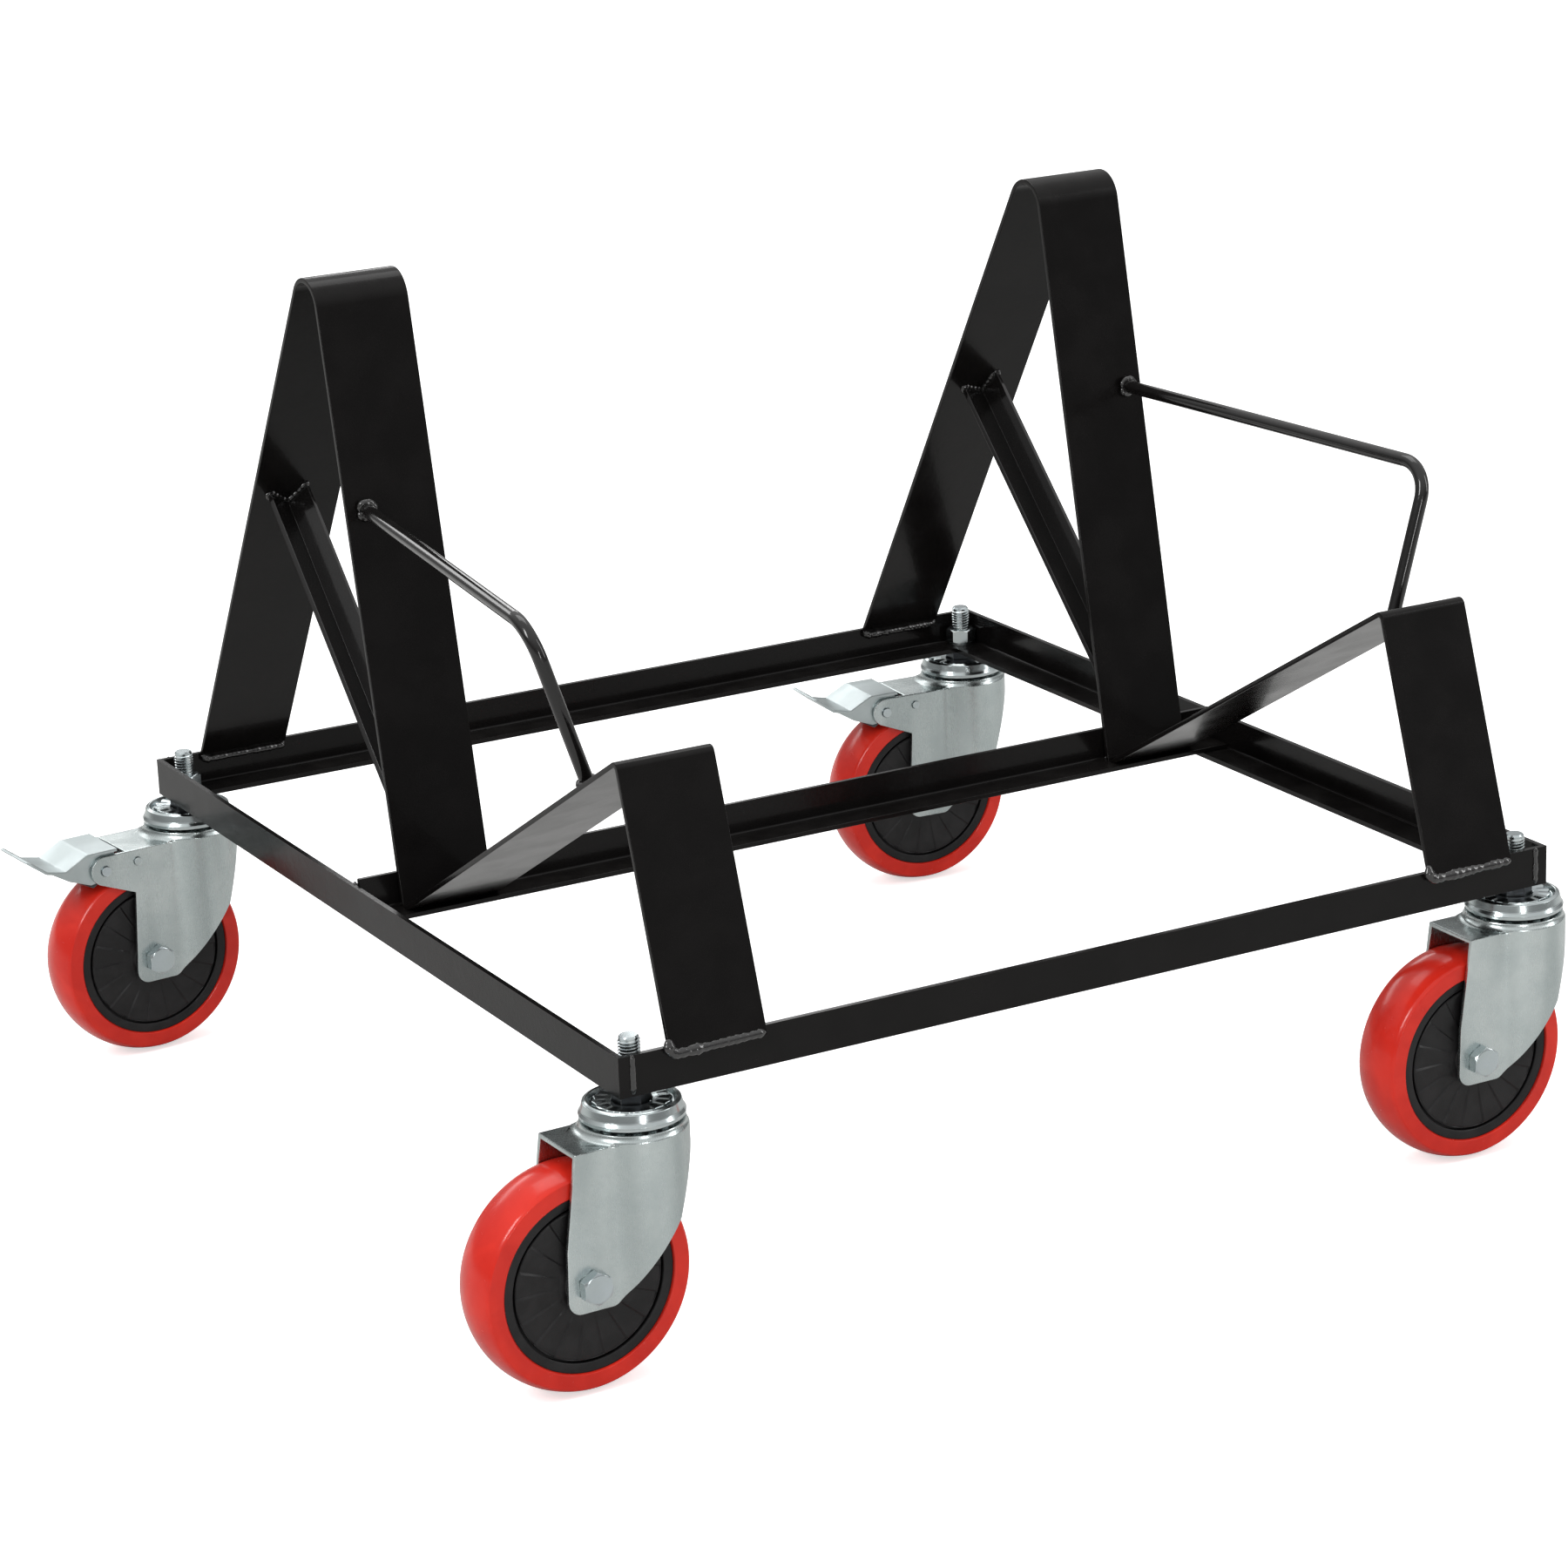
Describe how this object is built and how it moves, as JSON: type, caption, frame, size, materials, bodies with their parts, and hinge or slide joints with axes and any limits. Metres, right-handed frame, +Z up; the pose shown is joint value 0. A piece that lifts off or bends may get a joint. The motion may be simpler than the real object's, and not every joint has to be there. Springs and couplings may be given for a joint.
{
  "type": "furniture dolly",
  "caption": "Wheeled steel dolly for moving stacked chairs, with an angle-iron base, bent flat-bar supports, guide rods and swivel casters, the rear ones braked.",
  "frame": {"origin": "middle of the bounding box in plan, on the floor under the wheels", "axes": "+X along the long front and rear rails, +Y from the low supports to the tall ones, +Z up"},
  "size_m": [0.7206, 0.6714, 0.5164],
  "materials": {
    "black_paint": "gloss",
    "zinc": "satin",
    "dark_steel": "satin",
    "core_plastic": "satin",
    "red_tread": "gloss"
  },
  "bodies": {
    "frame": {"front_rail": "black_paint", "rear_rail": "black_paint", "left_rail": "black_paint", "right_rail": "black_paint", "mid_rail": "black_paint", "tall_band_left": "black_paint", "short_band_left": "black_paint", "brace_left": "black_paint", "guide_rod_left": "black_paint", "tall_band_right": "black_paint", "short_band_right": "black_paint", "brace_right": "black_paint", "guide_rod_right": "black_paint", "stem_front_left": "zinc", "cup_front_left": "zinc", "stem_front_right": "zinc", "cup_front_right": "zinc", "stem_rear_left": "zinc", "cup_rear_left": "zinc", "stem_rear_right": "zinc", "cup_rear_right": "zinc", "swivel_balls": "zinc", "stem_nuts": "zinc", "stem_washers": "zinc"},
    "swivel_front_left": {"fork_front_left": "zinc", "axle_bolt_front_left": "zinc", "axle_nut_front_left": "zinc", "axle_bush_front_left": "zinc"},
    "wheel_front_left": {"wheel_core_front_left": "core_plastic", "tread_front_left": "red_tread"},
    "swivel_front_right": {"fork_front_right": "zinc", "axle_bolt_front_right": "zinc", "axle_nut_front_right": "zinc", "axle_bush_front_right": "zinc"},
    "wheel_front_right": {"wheel_core_front_right": "core_plastic", "tread_front_right": "red_tread"},
    "pedal_rear_left": {"brake_pedal_rear_left": "zinc", "brake_shoe_rear_left": "dark_steel"},
    "swivel_rear_left": {"fork_rear_left": "zinc", "axle_bolt_rear_left": "zinc", "axle_nut_rear_left": "zinc", "axle_bush_rear_left": "zinc", "pedal_pin_rear_left": "zinc", "stop_pin_rear_left": "zinc"},
    "wheel_rear_left": {"wheel_core_rear_left": "core_plastic", "tread_rear_left": "red_tread"},
    "pedal_rear_right": {"brake_pedal_rear_right": "zinc", "brake_shoe_rear_right": "dark_steel"},
    "swivel_rear_right": {"fork_rear_right": "zinc", "axle_bolt_rear_right": "zinc", "axle_nut_rear_right": "zinc", "axle_bush_rear_right": "zinc", "pedal_pin_rear_right": "zinc", "stop_pin_rear_right": "zinc"},
    "wheel_rear_right": {"wheel_core_rear_right": "core_plastic", "tread_rear_right": "red_tread"}
  },
  "joints": [
    {"name": "swivel_turn_front_left", "type": "hinge", "parent": "frame", "child": "swivel_front_left", "pos_m": [-0.23821, -0.30621, 0.1408], "axis": [0, 0, 1], "continuous": true},
    {"name": "wheel_spin_front_left", "type": "hinge", "parent": "swivel_front_left", "child": "wheel_front_left", "pos_m": [-0.27619, -0.30734, 0.0625], "axis": [-0.0297, 0.9996, 0], "continuous": true},
    {"name": "swivel_turn_front_right", "type": "hinge", "parent": "frame", "child": "swivel_front_right", "pos_m": [0.3308, -0.30621, 0.1408], "axis": [0, 0, 1], "continuous": true},
    {"name": "wheel_spin_front_right", "type": "hinge", "parent": "swivel_front_right", "child": "wheel_front_right", "pos_m": [0.2928, -0.30621, 0.0625], "axis": [0, 1, 0], "continuous": true},
    {"name": "swivel_turn_rear_left", "type": "hinge", "parent": "frame", "child": "swivel_rear_left", "pos_m": [-0.23821, 0.30379, 0.1408], "axis": [0, 0, 1], "continuous": true},
    {"name": "wheel_spin_rear_left", "type": "hinge", "parent": "swivel_rear_left", "child": "wheel_rear_left", "pos_m": [-0.27604, 0.30028, 0.0625], "axis": [-0.0924, 0.9957, 0], "continuous": true},
    {"name": "brake_press_rear_left", "type": "hinge", "parent": "swivel_rear_left", "child": "pedal_rear_left", "pos_m": [-0.30651, 0.29745, 0.1265], "axis": [0.0924, -0.9957, 0], "range_deg": [0, 8]},
    {"name": "swivel_turn_rear_right", "type": "hinge", "parent": "frame", "child": "swivel_rear_right", "pos_m": [0.3308, 0.30379, 0.1408], "axis": [0, 0, 1], "continuous": true},
    {"name": "wheel_spin_rear_right", "type": "hinge", "parent": "swivel_rear_right", "child": "wheel_rear_right", "pos_m": [0.29286, 0.30598, 0.0625], "axis": [0.0576, 0.9983, 0], "continuous": true},
    {"name": "brake_press_rear_right", "type": "hinge", "parent": "swivel_rear_right", "child": "pedal_rear_right", "pos_m": [0.26231, 0.30774, 0.1265], "axis": [-0.0576, -0.9983, 0], "range_deg": [0, 8]}
  ]
}
